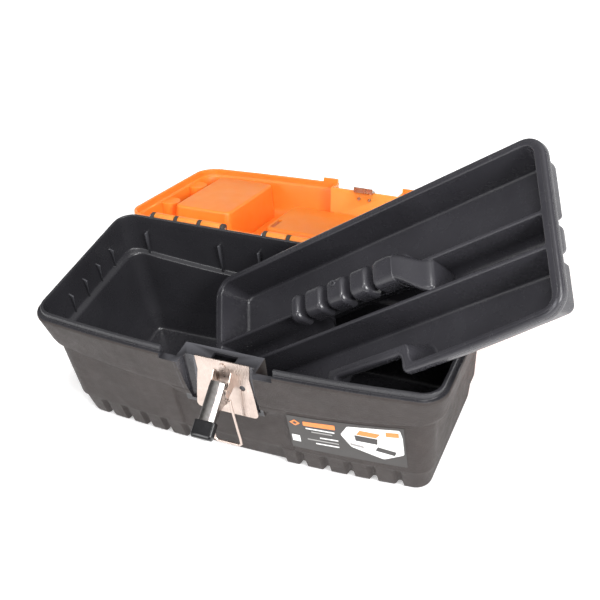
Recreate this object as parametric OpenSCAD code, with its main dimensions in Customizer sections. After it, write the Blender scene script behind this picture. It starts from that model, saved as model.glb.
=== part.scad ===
// Small plastic toolbox: a dark tub with a bowed front, an orange lid that folds over the back,
// a lift-out tray with a grip bar, and a steel draw latch in an alcove at the front centre.
// +X runs along the length to the right, +Y to the back, +Z up. The origin is the middle of the base.

/* [Tub] */
// Length of the rim band
body_length = 330; // [320:1:340]
// Depth of the rim band at its ends, without the bow of the front
body_depth = 143.5; // [140:0.5:147]
// Height of the shelf that the lid rests on
band_top = 108; // [106:0.5:110]
// How far the front bows out at the rim
front_bow = 8.1; // [4:0.1:9]
// Wall thickness of the plastic
wall = 2; // [1.8:0.1:2.2]
// How far the band's lower edge dips towards the middle of the long sides
lip_dip = 9.9; // [6:0.1:11]

/* [Lid] */
// Angle between the closed lid and the open lid
lid_open_angle = 196.4; // [190:0.2:197]
// Height of the lid above the shelf
lid_height = 38; // [36:0.5:40]

/* [Tray] */
// Length of the tray's flange
tray_length = 314.4; // [308:0.2:315]
// Depth of the tray's flange at its ends
tray_depth = 127.2; // [124:0.2:128]
// Depth of the tray's pockets below the flange
tray_pocket = 26; // [22:0.5:27]
// Turn of the lifted tray about its long axis
tray_roll = 32.8; // [30:0.1:34]
// Turn of the lifted tray that raises its right end
tray_pitch = -33.6; // [-35:0.1:-32]
// Turn of the lifted tray about the vertical
tray_yaw = 2.3; // [1:0.1:3]

/* [Latch] */
// Angle of the lever below the horizontal
lever_droop = 31.3; // [25:0.1:40]
// Length of the bail from its pivot to the crossbar
bail_reach = 45.5; // [44:0.5:46]
// Radius of the bail wire
wire_r = 1; // [0.8:0.05:1]

/* [Hinge] */
// Radius of the steel hinge rods
rod_r = 1.5; // [1.3:0.1:1.6]
// Radius of the hinge lugs and knuckles
knuckle_r = 4.2; // [4:0.1:4.3]

/* [Hidden] */
$fn = 48;

// Clearances
run_gap = 0.05;
side_gap = 0.4;
eps = 0.01;

// Station counts around a ring
corner_steps = 6;
long_steps = 14;
end_steps = 2;

// Tub
half_len = body_length / 2;
half_dep = body_depth / 2;
lip_reach = half_len - 10;
notch_half = 46;
alcove_half = 31;
alcove_inner_half = 25.5;
alcove_floor_z = 61.5;
cap_z = band_top - 4;
cap_back_y = -56.5;
groove_x = [48.5, 68, 86.5, 104.6, 124];
groove_top = 21;

// Lid
hinge_y = half_dep + 2.95;
hinge_z = band_top - 1.4;
lid_rim = band_top + 0.3;
lid_top = band_top + lid_height;
lid_half_dep = body_depth / 2 + 1;
lid_mid_y = hinge_y - 2.9 - lid_half_dep;
lid_bow = front_bow + 1.2;
lug_x = [-135, -113, -91, -69.5, -31, -10, 10, 31, 69.5, 91, 113, 135];
lug_w = 3;
zone_ends = [[-135, -69.5], [-31, 31], [69.5, 135]];

// Wells and handle recess in the lid's top
well_x = 117;
well_y = [-59, 23];
well_half = 24.5;
well_floor = 112.5;
cover_t = 1.8;
cover_lip = 3;
cover_pin_r = 0.8;
cover_hinge_y = well_y[1] + 2.5;
cover_hinge_z = lid_top - 1.2;
handle_y = -2;
handle_z = lid_top - 10;
handle_reach = 40;
handle_hang = lid_open_angle - 180 + 57.2;

// Tray
tray_hl = tray_length / 2;
tray_hw = tray_depth / 2;
tray_at = [84.9, -3.4, 133.5];
tray_bow = 5.2;
tray_skirt = 7;

// Latch
plate_y0 = -79.6;
plate_tilt = atan(0.1);
plate_t = 1;
pivot = [0, -79, 84.5];
bail_on_lever = [4.9, -4.4];
ear_in = 6.5;
ear_t = 0.9;
lever_half = 6.3;
metal_t = 1;
rivet_r = 1.3;
plate_rivet_z = [66, 100];
leg_x = ear_in + ear_t + 0.15 + wire_r;

// ---------- shared shapes ----------

// Points of a quarter circle
function arc_points(cx, cy, r, start, steps) =
    [for (i = [0:steps]) [cx + r * cos(start + 90 * i / steps), cy + r * sin(start + 90 * i / steps)]];

// Points strictly between p and q
function side_points(p, q, steps) = [for (i = [1:1:steps - 1]) p + (q - p) * i / steps];

// Rounded rectangle, counterclockwise seen from above
function plan(hl, hw, r, cs, ls, es) =
    let (x = hl - r, y = hw - r)
    concat(
        arc_points(x, -y, r, -90, cs), side_points([hl, -y], [hl, y], es),
        arc_points(x, y, r, 0, cs), side_points([x, hw], [-x, hw], ls),
        arc_points(-x, y, r, 90, cs), side_points([-hl, y], [-hl, -y], es),
        arc_points(-x, -y, r, 180, cs), side_points([-x, -hw], [x, -hw], ls));

// A parabola that is full at x = 0 and gone at x = reach
function hump(x, reach, full) = abs(x) < reach ? full * (1 - pow(x / reach, 2)) : 0;

// Ring with a bowed front and a dip in height along both long sides
function ring(hl, hw, r, bow, z, dip = 0, mid_y = 0) =
    [for (p = plan(hl, hw, r, corner_steps, long_steps, end_steps))
        [p[0], p[1] + mid_y - (p[1] < 0 ? hump(p[0], hl - r, bow) : 0), z - hump(p[0], lip_reach, dip)]];

// Bow of the tub's front at height z
function bow_at(z) = front_bow * (2 + z / band_top) / 3;

// Ring of the tub, set in from the band's outline
function tub_ring(in_x, in_y, r, z, dip = 0) =
    ring(half_len - in_x, half_dep - in_y, r, bow_at(z), z, dip);

// Closed skin through a stack of rings
module loft(rings) {
    n = len(rings[0]);
    m = len(rings);
    skin = [for (i = [0:m - 2]) for (j = [0:n - 1])
        let (k = (j + 1) % n)
        each [[i * n + j, (i + 1) * n + j, (i + 1) * n + k], [i * n + j, (i + 1) * n + k, i * n + k]]];
    first = [for (j = [0:n - 1]) j];
    last = [for (j = [0:n - 1]) m * n - 1 - j];
    polyhedron(points = [for (r = rings) each r], faces = concat([first], skin, [last]));
}

// Rounded box that narrows towards its bottom
module taper_box(x0, x1, y0, y1, z0, z1, r, inset) {
    hl = (x1 - x0) / 2;
    hw = (y1 - y0) / 2;
    low = plan(hl - inset, hw - inset, r, 4, 1, 1);
    high = plan(hl, hw, r, 4, 1, 1);
    translate([(x0 + x1) / 2, (y0 + y1) / 2, 0])
        loft([[for (p = low) [p[0], p[1], z0]], [for (p = high) [p[0], p[1], z1]]]);
}

module box(x0, x1, y0, y1, z0, z1) {
    translate([x0, y0, z0])
        cube([x1 - x0, y1 - y0, z1 - z0]);
}

// Cylinder along X
module x_rod(x0, x1, r) {
    translate([x0, 0, 0])
        rotate([0, 90, 0])
            cylinder(r = r, h = x1 - x0);
}

// ---------- tub ----------

// Outer rings from the base up to the shelf
function tub_outside() = [
    tub_ring(24, 20, 9, 0),
    tub_ring(20.8, 16.8, 11, 1.5),
    tub_ring(19.6, 15.6, 12, 4),
    tub_ring(17.2, 11.8, 12, 22.5),
    tub_ring(15.4, 10.3, 13, 25),
    tub_ring(11.2, 7.5, 14, 78.5, lip_dip),
    tub_ring(6, 6.4, 16, 80, lip_dip),
    tub_ring(4.2, 5.4, 17, 83.5, lip_dip),
    tub_ring(0.4, 0.4, 18.5, band_top - 4),
    tub_ring(0, 0, 18.5, band_top - 1.5),
    tub_ring(0.7, 0.7, 18, band_top)];

// Rings of the ridge and of the inner wall down to the floor
function tub_inside() = [
    tub_ring(3.4, 3.4, 15.6, band_top),
    tub_ring(3.8, 3.8, 15.2, band_top + 4),
    tub_ring(6, 6, 13, band_top + 4.4),
    tub_ring(6.6, 6.6, 12.4, band_top),
    tub_ring(7.4, 7, 12, 96),
    tub_ring(8.6, 8.2, 11.5, 80.5, lip_dip),
    tub_ring(13.1, 11.9, 11, 79, lip_dip),
    tub_ring(20.5, 16.6, 10, 26),
    tub_ring(26.5, 21, 7, wall + 1)];

module tub_solid() {
    loft(tub_outside());
}

// Half-round grooves that leave a row of lobes along the foot
module foot_grooves() {
    for (side = [-1, 1])
        for (x = groove_x)
            for (face_y = [-half_dep + 12.4 - hump(x, half_len - 30, bow_at(10)), half_dep - 12.4])
                translate([side * x, face_y + sign(face_y) * 0.8, -1])
                    cylinder(r = 2.6, h = groove_top + 1, $fn = 24);
}

// The foot is set back a little under the latch, at the front and at the back
module centre_setback() {
    set_y = half_dep - 12;
    for (side = [-1, 1])
        translate([-34, side > 0 ? set_y : -set_y - 30 - front_bow / 2, -1])
            cube([68, 30, groove_top + 1]);
}

// Solid that becomes the alcove's back wall and the cap over it
module alcove_block() {
    intersection() {
        tub_solid();
        box(-29.5, 29.5, -90, cap_back_y, alcove_floor_z - 3, cap_z);
    }
}

module alcove_cuts() {
    // the recess in front of the latch plate
    translate([0, plate_y0, 0])
        rotate([-plate_tilt, 0, 0])
            translate([0, 0, alcove_floor_z])
                linear_extrude(height = 80)
                    polygon([[-alcove_half, -20], [alcove_half, -20], [alcove_half, -5],
                        [alcove_inner_half, plate_t + 0.05], [-alcove_inner_half, plate_t + 0.05],
                        [-alcove_half, -5]]);
    // the lowered rim
    box(-notch_half, notch_half, -100, -55, cap_z - 0.5, band_top + 10);
    // the slot for the keeper's tongue, open to the hollow under the cap
    box(-9.6, 9.6, -66, -61, 90, cap_z + 5);
    // the hollow under the cap
    box(-26.5, 26.5, -65, cap_back_y - wall, 40, cap_z - 3);
}

// Ribs on the inner end walls and on the inner back wall
module inner_ribs() {
    rib_t = 1.6;
    for (side = [-1, 1])
        for (y = [-27.4, -7, 13.3, 34.5])
            translate([0, y + rib_t / 2, 0])
                rotate([90, 0, 0])
                    linear_extrude(height = rib_t)
                        polygon([[side * (half_len - 6.5), 103], [side * (half_len - 10), 94.5],
                            [side * (half_len - 10.5), 79.5], [side * (half_len - 6.5), 79.5]]);
    for (x = [-138, -69, -33, 33, 69, 138])
        box(x - rib_t / 2, x + rib_t / 2, half_dep - 10.5, half_dep - 6,
            79 - hump(x, lip_reach, lip_dip), 98);
}

// The twelve lugs that hold the hinge rods
module tub_lugs() {
    for (x = lug_x) {
        translate([0, hinge_y, hinge_z])
            x_rod(x - lug_w / 2, x + lug_w / 2, knuckle_r);
        box(x - lug_w / 2, x + lug_w / 2, half_dep - 3, hinge_y, hinge_z - knuckle_r, hinge_z);
    }
}

// Room in the band for the lid's knuckles between the lugs
module knuckle_room() {
    for (zone = zone_ends)
        for (x = [for (a = lug_x) if (a >= zone[0] && a < zone[1]) a])
            translate([0, hinge_y, hinge_z])
                x_rod(x + lug_w / 2, next_lug(x) - lug_w / 2, knuckle_r + side_gap);
}

function next_lug(x) = min([for (a = lug_x) if (a > x) a]);

module rod_bores(r) {
    for (zone = zone_ends)
        translate([0, hinge_y, hinge_z])
            x_rod(zone[0] - 5, zone[1] + 5, r);
}

module body_shell() {
    color("#57504d")
        difference() {
            union() {
                difference() {
                    union() {
                        loft(concat(tub_outside(), tub_inside()));
                        alcove_block();
                    }
                    alcove_cuts();
                    foot_grooves();
                    centre_setback();
                    knuckle_room();
                }
                inner_ribs();
                tub_lugs();
            }
            rod_bores(rod_r + run_gap);
            plate_rivet_holes();
        }
}

// ---------- lid, drawn closed and then turned open ----------

module lid_place() {
    translate([0, hinge_y, hinge_z])
        rotate([-lid_open_angle, 0, 0])
            translate([0, -hinge_y, -hinge_z])
                children();
}

// Ring of the lid, drawn upside down
function lid_ring(in_x, in_y, r, z) =
    ring(half_len + 0.3 - in_x, lid_half_dep - in_y, r, lid_bow, -z, 0, lid_mid_y);

function lid_outside() = [
    lid_ring(13, 12, 9, lid_top),
    lid_ring(9, 8.4, 12.5, lid_top - 0.8),
    lid_ring(6.4, 6, 15.5, lid_top - 3.4),
    lid_ring(5, 4.8, 18, lid_top - 8),
    lid_ring(1.4, 1.2, 19.8, lid_rim + 5.4),
    lid_ring(0, 0, 20, lid_rim + 4.6),
    lid_ring(0, 0, 20, lid_rim)];

function lid_inside() = [
    lid_ring(2.3, 2.3, 18, lid_rim),
    lid_ring(2.4, 2.4, 18, lid_rim + 5.4),
    lid_ring(3.6, 3.4, 17.6, lid_rim + 6.4),
    lid_ring(7.2, 7, 16, lid_top - 9),
    lid_ring(9, 8.6, 13.5, lid_top - 5),
    lid_ring(12, 11.4, 10.5, lid_top - 2.8),
    lid_ring(16, 15, 7, lid_top - wall)];

module lid_solid() {
    mirror([0, 0, 1])
        loft(lid_outside());
}

// One deep well, hanging from the lid's top
module well_shell(side) {
    mx = side * well_x;
    taper_box(mx - well_half - 5, mx + well_half + 5, well_y[0] - 8.5, well_y[1] + 5,
        well_floor, lid_top - 1.2, 6, 2.5);
}

module well_cut(side) {
    mx = side * well_x;
    taper_box(mx - well_half, mx + well_half, well_y[0], well_y[1],
        well_floor + wall, lid_top - cover_t, 5, 1.5);
    // the step that the cover lies in
    box(mx - well_half - cover_lip, mx + well_half + cover_lip, well_y[0] - cover_lip,
        cover_hinge_y + 2, lid_top - cover_t - 0.4, lid_top + 5);
}

// Recess in the lid's top that the folded handle lies in
module handle_recess_shell() {
    taper_box(-66, 66, -56, 12, lid_top - 20, lid_top - 1, 8, 2);
}

module handle_recess_cut() {
    taper_box(-64, 64, -54, 10, lid_top - 18, lid_top + 5, 7, 2);
}

// Half-round columns on the inner end walls
module lid_columns() {
    intersection() {
        lid_solid();
        for (side = [-1, 1])
            for (y = [-40, 10])
                translate([side * (half_len - 8), y, lid_rim + 7])
                    cylinder(r = 9, h = lid_height - 9);
    }
}

// Wall behind the latch alcove of the lid
module lid_alcove_block() {
    intersection() {
        lid_solid();
        box(-33, 33, -90, -67.5, lid_rim, lid_top - 8);
    }
}

// Two tongues that fill the lowered rim beside the alcove
module lid_tabs() {
    outer = [for (p = lid_ring(0, 0, 20, 0)) [p[0], p[1]]];
    inner = [for (p = lid_ring(2.3, 2.3, 18, 0)) [p[0], p[1]]];
    for (side = [-1, 1])
        intersection() {
            translate([0, 0, cap_z + 0.5])
                linear_extrude(height = 8)
                    difference() {
                        polygon(outer);
                        polygon(inner);
                    }
            translate([side * 38.5, -80, 108])
                cube([14, 20, 20], center = true);
        }
}

// Knuckles between the tub's lugs
module lid_knuckles() {
    for (zone = zone_ends)
        for (x = [for (a = lug_x) if (a >= zone[0] && a < zone[1]) a]) {
            x0 = x + lug_w / 2 + side_gap;
            x1 = next_lug(x) - lug_w / 2 - side_gap;
            translate([0, hinge_y, hinge_z])
                x_rod(x0, x1, knuckle_r);
            box(x0, x1, hinge_y - knuckle_r + 0.6, hinge_y, lid_rim, hinge_z + knuckle_r);
        }
}

module lug_room() {
    for (x = lug_x)
        translate([0, hinge_y, hinge_z])
            x_rod(x - lug_w / 2 - side_gap, x + lug_w / 2 + side_gap, knuckle_r + side_gap);
}

// Bores for the handle's pivots, through the side walls of its recess
module handle_bores() {
    translate([0, handle_y, handle_z])
        for (side = [-1, 1])
            x_rod(side > 0 ? 60 : -68, side > 0 ? 68 : -60, 2.5 + run_gap);
}

module cover_bores() {
    for (side = [-1, 1])
        translate([0, cover_hinge_y, cover_hinge_z])
            x_rod(side * well_x - well_half - 2.6, side * well_x + well_half + 2.6, cover_pin_r + run_gap);
}

module keeper_rivet_holes() {
    for (side = [-1, 1])
        translate([side * 5, -75, 115])
            rotate([-90, 0, 0])
                cylinder(r = rivet_r + run_gap, h = 12);
}

module lid_shell() {
    color("#ff7a2a")
        lid_place()
            difference() {
                union() {
                    difference() {
                        union() {
                            mirror([0, 0, 1])
                                loft(concat(lid_outside(), lid_inside()));
                            lid_columns();
                            lid_alcove_block();
                            lid_tabs();
                            well_shell(-1);
                            well_shell(1);
                            handle_recess_shell();
                        }
                        lug_room();
                        well_cut(-1);
                        well_cut(1);
                        handle_recess_cut();
                        box(-alcove_half, alcove_half, -100, -69.5, 100, lid_top - 12);
                        box(-60, -56, -13, 6, lid_top - 30, lid_top - 10);
                        box(56, 60, -13, 6, lid_top - 30, lid_top - 10);
                    }
                    lid_knuckles();
                    for (side = [-1, 1])
                        cover_seats(side);
                }
                rod_bores(rod_r + run_gap);
                handle_bores();
                cover_bores();
                keeper_rivet_holes();
            }
}

// Small blocks that hold the ends of a cover's hinge pin
module cover_seats(side) {
    for (end = [-1, 1])
        translate([side * well_x + end * (well_half + 1.6), cover_hinge_y, lid_top - 1.4])
            cube([2.4, 3.4, 2.8], center = true);
}

module well_cover(side) {
    mx = side * well_x;
    half = well_half + cover_lip - 0.4;
    color([0.85, 0.88, 0.9, 0.5])
        lid_place()
            union() {
                box(mx - half, mx + half, well_y[0] - cover_lip + 0.4, cover_hinge_y - 2.2,
                    lid_top - cover_t, lid_top);
                box(mx - well_half + 0.6, mx + well_half - 0.6, cover_hinge_y - 2.3, cover_hinge_y,
                    lid_top - cover_t, lid_top);
                translate([0, cover_hinge_y, cover_hinge_z])
                    x_rod(mx - well_half - 2.4, mx + well_half + 2.4, cover_pin_r);
                // catch that snaps against the well's front wall
                box(mx - 8, mx + 8, well_y[0] + 0.5, well_y[0] + 2, lid_top - cover_t - 3, lid_top);
            }
}

module cover_left() {
    well_cover(-1);
}

module cover_right() {
    well_cover(1);
}

// Folding handle, drawn hanging straight down from the open lid
module carry_handle() {
    grip_r = 7;
    pin_r = 2.5;
    arm_t = 8;
    color("#1a1a1c")
        lid_place()
            translate([0, handle_y, handle_z])
                rotate([-handle_hang, 0, 0])
                    union() {
                        for (side = [-1, 1]) {
                            translate([side * 53, 0, 0])
                                x_rod(side > 0 ? 3 : -11.5, side > 0 ? 11.5 : -3, pin_r);
                            translate([side * 56 - arm_t / 2, 0, 0])
                                x_rod(0, arm_t, 6);
                            box(side * 56 - arm_t / 2, side * 56 + arm_t / 2, -handle_reach, 0, -5, 5);
                        }
                        translate([0, -handle_reach, 0])
                            x_rod(-60, 60, grip_r);
                    }
}

// ---------- hinge rods ----------

module hinge_rod(zone) {
    color("#c9c9c9")
        translate([0, hinge_y, hinge_z]) {
            x_rod(zone[0] - lug_w / 2 - 1.5, zone[1] + lug_w / 2 + 0.8, rod_r);
            x_rod(zone[0] - lug_w / 2 - 1.5, zone[0] - lug_w / 2 - 0.2, rod_r + 1);
        }
}

module hinge_pin_left() {
    hinge_rod(zone_ends[0]);
}

module hinge_pin_centre() {
    hinge_rod(zone_ends[1]);
}

module hinge_pin_right() {
    hinge_rod(zone_ends[2]);
}

// ---------- tray ----------

module tray_place() {
    translate(tray_at)
        rotate([tray_roll, tray_pitch, tray_yaw])
            children();
}

function tray_ring(inset, z) =
    ring(tray_hl - inset, tray_hw - inset, 17 - inset / 2, tray_bow, z);

// The three pockets: front, middle, back, as [low y, high y] at the flange
pocket_rows = [[-61.5, -19.2], [-16.2, 5], [8, 57.6]];
pocket_half = 149;
pocket_inset = [4.5, 4, 4.5];

module tray_flange() {
    difference() {
        loft([tray_ring(0.6, -tray_skirt), tray_ring(0, -tray_skirt + 1), tray_ring(0, -1.2),
            tray_ring(1.2, 0)]);
        loft([tray_ring(2, -tray_skirt - 1), tray_ring(2.4, -2)]);
    }
}

module pocket(row, grow) {
    y = pocket_rows[row];
    taper_box(-pocket_half - grow, pocket_half + grow, y[0] - grow, y[1] + grow,
        -tray_pocket - grow, grow > 0 ? -1 : 5, 5, pocket_inset[row] * (tray_pocket + 5) / tray_pocket);
}

// Bar with five finger lobes and a smooth block, which the tray is lifted by
module grip_bar() {
    lobe_edges = [-67, -53, -31, -9, 12.5, 30];
    bar_mid = 8.5;
    foot = -tray_pocket - wall / 2;
    for (i = [0:4]) {
        mid = (lobe_edges[i] + lobe_edges[i + 1]) / 2;
        half = (lobe_edges[i + 1] - lobe_edges[i]) / 2;
        translate([mid, bar_mid, foot])
            cylinder(r = half + 0.6, h = 6.5 - foot, $fn = 24);
    }
    box(-62, 56, bar_mid - 7.5, bar_mid + 7.5, foot, 4);
    box(28, 60, bar_mid - 9, bar_mid + 9, foot, 8);
}

module tray() {
    color("#2b2b2e")
        tray_place()
            difference() {
                union() {
                    difference() {
                        union() {
                            tray_flange();
                            pocket(0, wall);
                            pocket(1, wall);
                            pocket(2, wall);
                        }
                        pocket(0, 0);
                        pocket(1, 0);
                        pocket(2, 0);
                    }
                    grip_bar();
                    box(-32, 32, -63, -46, -tray_pocket - wall / 2, -0.6);
                }
                // clearance for the tub's alcove
                translate([0, 0, -tray_pocket - 5])
                    linear_extrude(height = tray_pocket + 10)
                        polygon([[-31, -90], [31, -90], [30, -49], [-30, -49]]);
                // finger hole in front of the bar
                translate([6, -9, -tray_pocket - 5])
                    linear_extrude(height = tray_pocket + 15)
                        square([94, 11], center = true);
            }
}

// ---------- latch ----------

// Frame whose face lies on the alcove's back wall, +Z up the plate and -Y outwards
module on_plate() {
    translate([0, plate_y0, 0])
        rotate([-plate_tilt, 0, 0])
            children();
}

// Frame of the lever: +X across, +Y along the lever to its tip, +Z out of its web
module on_lever() {
    translate(pivot)
        rotate([-180 + lever_droop, 0, 0])
            mirror([0, 0, 1])
                children();
}

module latch_plate() {
    outline = [[-22, 105], [-20.8, 93], [-22.3, 84], [-24.1, 71], [-25.2, 61], [-24, 58.8], [-22, 58],
        [22, 58], [24, 58.8], [25.2, 61], [24.1, 71], [22.3, 84], [20.8, 93], [22, 105]];
    color("#d9cfc8")
        difference() {
            union() {
                on_plate()
                    translate([0, plate_t, 0])
                        rotate([90, 0, 0])
                            linear_extrude(height = plate_t)
                                polygon(outline);
                for (side = [-1, 1])
                    ear(side);
            }
            translate(pivot)
                x_rod(-12, 12, rod_r + run_gap);
            plate_rivet_holes();
            translate([14.5, -60, pivot[2] - 1])
                rotate([90, 0, 0])
                    cylinder(r = 2.4, h = 20);
        }
}

// One ear of the plate: a rounded nose round the pivot, on a root that clears the bail's stub
module ear(side) {
    translate([side > 0 ? ear_in : -ear_in - ear_t, 0, 0])
        rotate([90, 0, 90])
            linear_extrude(height = ear_t)
                union() {
                    translate([pivot[1], pivot[2]])
                        circle(r = 4.1);
                    polygon([[-79, 80.5], [-70.9, 82.3], [-69.7, 95.5], [-70.6, 96], [-78, 88.4]]);
                }
}

module plate_rivets() {
    color("#c9c0ba")
        on_plate()
            for (z = plate_rivet_z)
                translate([0, 0, z])
                    rivet(2.6, 4);
}

// Rivet with its head's underside at y = 0 and its shank towards +Y
module rivet(head_r, shank) {
    rotate([-90, 0, 0]) {
        translate([0, 0, -0.8])
            cylinder(r = head_r, h = 0.8);
        translate([0, 0, -eps])
            cylinder(r = rivet_r, h = shank);
    }
}

module plate_rivet_holes() {
    on_plate()
        for (z = plate_rivet_z)
            translate([0, -2, z])
                rotate([-90, 0, 0])
                    cylinder(r = rivet_r + run_gap, h = 12);
}

module latch_lever() {
    web_top = 7;
    wing = [[-5.8, web_top], [-5.8, -1], [-2.5, -3.6], [1.6, -4.6], [3, -6.4], [5, -6.8], [7, -6.3],
        [9.5, -2.5], [14, 0.6], [24.4, 3.2], [24.4, web_top]];
    color("#cfc9c4")
        difference() {
            on_lever()
                difference() {
                    translate([-lever_half, 0, 0])
                        rotate([90, 0, 90])
                            linear_extrude(height = 2 * lever_half)
                                polygon(wing);
                    translate([0, 0, -10 + web_top - metal_t])
                        cube([2 * (lever_half - metal_t), 80, 20], center = true);
                }
            translate(pivot)
                x_rod(-12, 12, rod_r + run_gap);
            bail_pivot()
                x_rod(-12, 12, wire_r + run_gap);
        }
}

module lever_tip() {
    color("#141414")
        on_lever()
            difference() {
                hull() {
                    translate([0, 24.6, 5.4])
                        rotate([-90, 0, 0])
                            cylinder(r = 1, h = 1, $fn = 24);
                    for (side = [-1, 1]) {
                        translate([side * 5, 24.6, 4.6])
                            rotate([-90, 0, 0])
                                cylinder(r = 2.6, h = 11, $fn = 24);
                        translate([side * 4.2, 24.6, 3.6])
                            rotate([-90, 0, 0])
                                cylinder(r = 2, h = 13, $fn = 24);
                    }
                }
            }
}

// The pin's ends are flush with the ears, so that the bail's legs pass outside them
module lever_pin() {
    color("#b9b2ad")
        translate(pivot)
            x_rod(-ear_in - ear_t, ear_in + ear_t, rod_r);
}

// Frame of the bail's own pivot on the lever
module bail_pivot() {
    u = bail_on_lever[0];
    n = bail_on_lever[1];
    translate(pivot + [0, -u * cos(lever_droop) - n * sin(lever_droop),
            -u * sin(lever_droop) + n * cos(lever_droop)])
        children();
}

// Wire loop: two stubs through the lever's wings, two legs that splay, and a crossbar
module bail() {
    half_route = [[leg_x - 4.2, 0], [leg_x, 0], [leg_x, -6], [10.9, -38], [10.9, -bail_reach + 2],
        [8.9, -bail_reach]];
    n = len(half_route);
    other_half = [for (i = [n - 1:-1:0]) [-half_route[i][0], half_route[i][1]]];
    color("#d5ccc6")
        bail_pivot()
            wire(concat(half_route, other_half));
}

// Round wire through points in the XZ plane, with ball joints that stand a hair proud
module wire(route) {
    for (i = [0:len(route) - 2]) {
        a = route[i];
        b = route[i + 1];
        translate([a[0], 0, a[1]])
            rotate([0, atan2(b[0] - a[0], b[1] - a[1]), 0])
                cylinder(r = wire_r, h = norm(b - a), $fn = 24);
    }
    for (i = [1:len(route) - 2])
        translate([route[i][0], 0, route[i][1]])
            sphere(r = wire_r + 0.02, $fn = 24);
}

// Steel catch on the closed lid's front: a plate, a hook for the bail, and a tongue for the slot
module keeper() {
    profile = [[-70.6, 107], [-70.6, 122.4], [-77.6, 122.4], [-77.6, 125], [-76.6, 125], [-76.6, 123.4],
        [-69.6, 123.4], [-69.6, 108], [-63.2, 108], [-63.2, 103.2], [-64.2, 103.2], [-64.2, 107]];
    color("#d5ccc6")
        lid_place()
            difference() {
                translate([-9, 0, 0])
                    rotate([90, 0, 90])
                        linear_extrude(height = 18)
                            polygon(profile);
                keeper_rivet_holes();
            }
}

module keeper_rivets() {
    color("#c9c0ba")
        lid_place()
            for (side = [-1, 1])
                translate([side * 5, -70.6, 115])
                    rivet(2.2, 4.5);
}

// ---------- label ----------

// Front wall of the tub between the foot and the band
function front_y(x, z) =
    let (
        t = (z - 25) / (78.5 - hump(x, lip_reach, lip_dip) - 25),
        reach = half_len - 28.4 + 3.2 * t,
        bow = bow_at(25) + t * (bow_at(78.5) - bow_at(25)))
    -(half_dep - 10.3 + 2.8 * t) - hump(x, reach, bow);

// Sheet on the wall, from a straight lower edge up to just under the band
module front_label() {
    columns = 12;
    left = 46;
    width = 88;
    bottom = 30;
    gap = 0.22;
    thick = 0.3;
    function height_at(x, t) = bottom + t * (76 - hump(x, lip_reach, lip_dip) - bottom);
    function point(x, t, off) =
        let (z = height_at(x, t)) [x, front_y(x, z) - off, z];
    function section(x) = concat(
        [for (t = [0, 0.5, 1]) point(x, t, gap)],
        [for (t = [1, 0.5, 0]) point(x, t, gap + thick)]);
    color("#e8e4df")
        loft([for (i = [0:columns]) section(left + width * i / columns)]);
}

body_shell();
lid_shell();
tray();
hinge_pin_left();
hinge_pin_centre();
hinge_pin_right();
latch_plate();
plate_rivets();
latch_lever();
lever_tip();
lever_pin();
bail();
keeper();
keeper_rivets();
carry_handle();
cover_left();
cover_right();
front_label();
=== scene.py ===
"""Toolbox with a lifted tray: the looks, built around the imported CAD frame. Shapes are written in mm."""

import math

import bmesh
import bpy
import numpy as np
from mathutils import Matrix, Vector


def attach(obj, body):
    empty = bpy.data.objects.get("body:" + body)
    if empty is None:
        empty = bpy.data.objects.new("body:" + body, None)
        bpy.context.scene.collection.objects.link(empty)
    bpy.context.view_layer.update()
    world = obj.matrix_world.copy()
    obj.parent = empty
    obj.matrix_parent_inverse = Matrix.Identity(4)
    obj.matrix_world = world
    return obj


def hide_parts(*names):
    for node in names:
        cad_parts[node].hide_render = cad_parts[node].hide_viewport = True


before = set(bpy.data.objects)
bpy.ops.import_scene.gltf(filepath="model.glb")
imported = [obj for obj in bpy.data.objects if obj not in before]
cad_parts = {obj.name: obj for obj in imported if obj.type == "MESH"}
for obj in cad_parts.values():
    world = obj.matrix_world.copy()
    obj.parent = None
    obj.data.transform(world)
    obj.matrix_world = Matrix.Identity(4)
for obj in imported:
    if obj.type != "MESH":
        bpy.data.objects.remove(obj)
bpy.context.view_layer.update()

MM = 0.001
scene = bpy.context.scene
scene.view_settings.view_transform = "Standard"


# ---------- camera ----------

def camera_matrix(place, azimuth, elevation, roll):
    """Camera at place, looking along azimuth from +Y towards -X, down by elevation, turned by roll."""
    az, el = math.radians(azimuth), math.radians(elevation)
    ahead = Vector((-math.sin(az) * math.cos(el), math.cos(az) * math.cos(el), -math.sin(el)))
    level = ahead.cross(Vector((0, 0, 1))).normalized()
    up = level.cross(ahead)
    turn = math.radians(roll)
    right = math.cos(turn) * level - math.sin(turn) * up
    up = right.cross(ahead)
    m = Matrix((right, up, -ahead)).transposed().to_4x4()
    m.translation = place
    return m


def add_object(name, data):
    """Object in the scene for a mesh, a light or a camera."""
    obj = bpy.data.objects.new(name, data)
    scene.collection.objects.link(obj)
    return obj


CAMERA_PLACE = (0.3383, -0.5688, 0.6342)
CAMERA_AZIMUTH, CAMERA_ELEVATION, CAMERA_ROLL = 28.26, 38.89, 7.81
CAMERA_LENS, SENSOR_WIDTH = 67.47, 36

camera = add_object("camera", bpy.data.cameras.new("camera"))
scene.camera = camera
camera.data.lens = CAMERA_LENS
camera.data.sensor_width = SENSOR_WIDTH
camera.data.clip_start = 0.01
camera.matrix_world = camera_matrix(CAMERA_PLACE, CAMERA_AZIMUTH, CAMERA_ELEVATION, CAMERA_ROLL)


# ---------- mesh kit ----------

SLOTS = [bpy.data.materials.new("slot_out"), bpy.data.materials.new("slot_in")]


def slotted_mesh(name):
    """Empty mesh with the two placeholder material slots."""
    mesh = bpy.data.meshes.new(name)
    for m in SLOTS:
        mesh.materials.append(m)
    return mesh


def discard(obj):
    """Removes an object and its mesh."""
    mesh = obj.data
    bpy.data.objects.remove(obj)
    bpy.data.meshes.remove(mesh)


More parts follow.
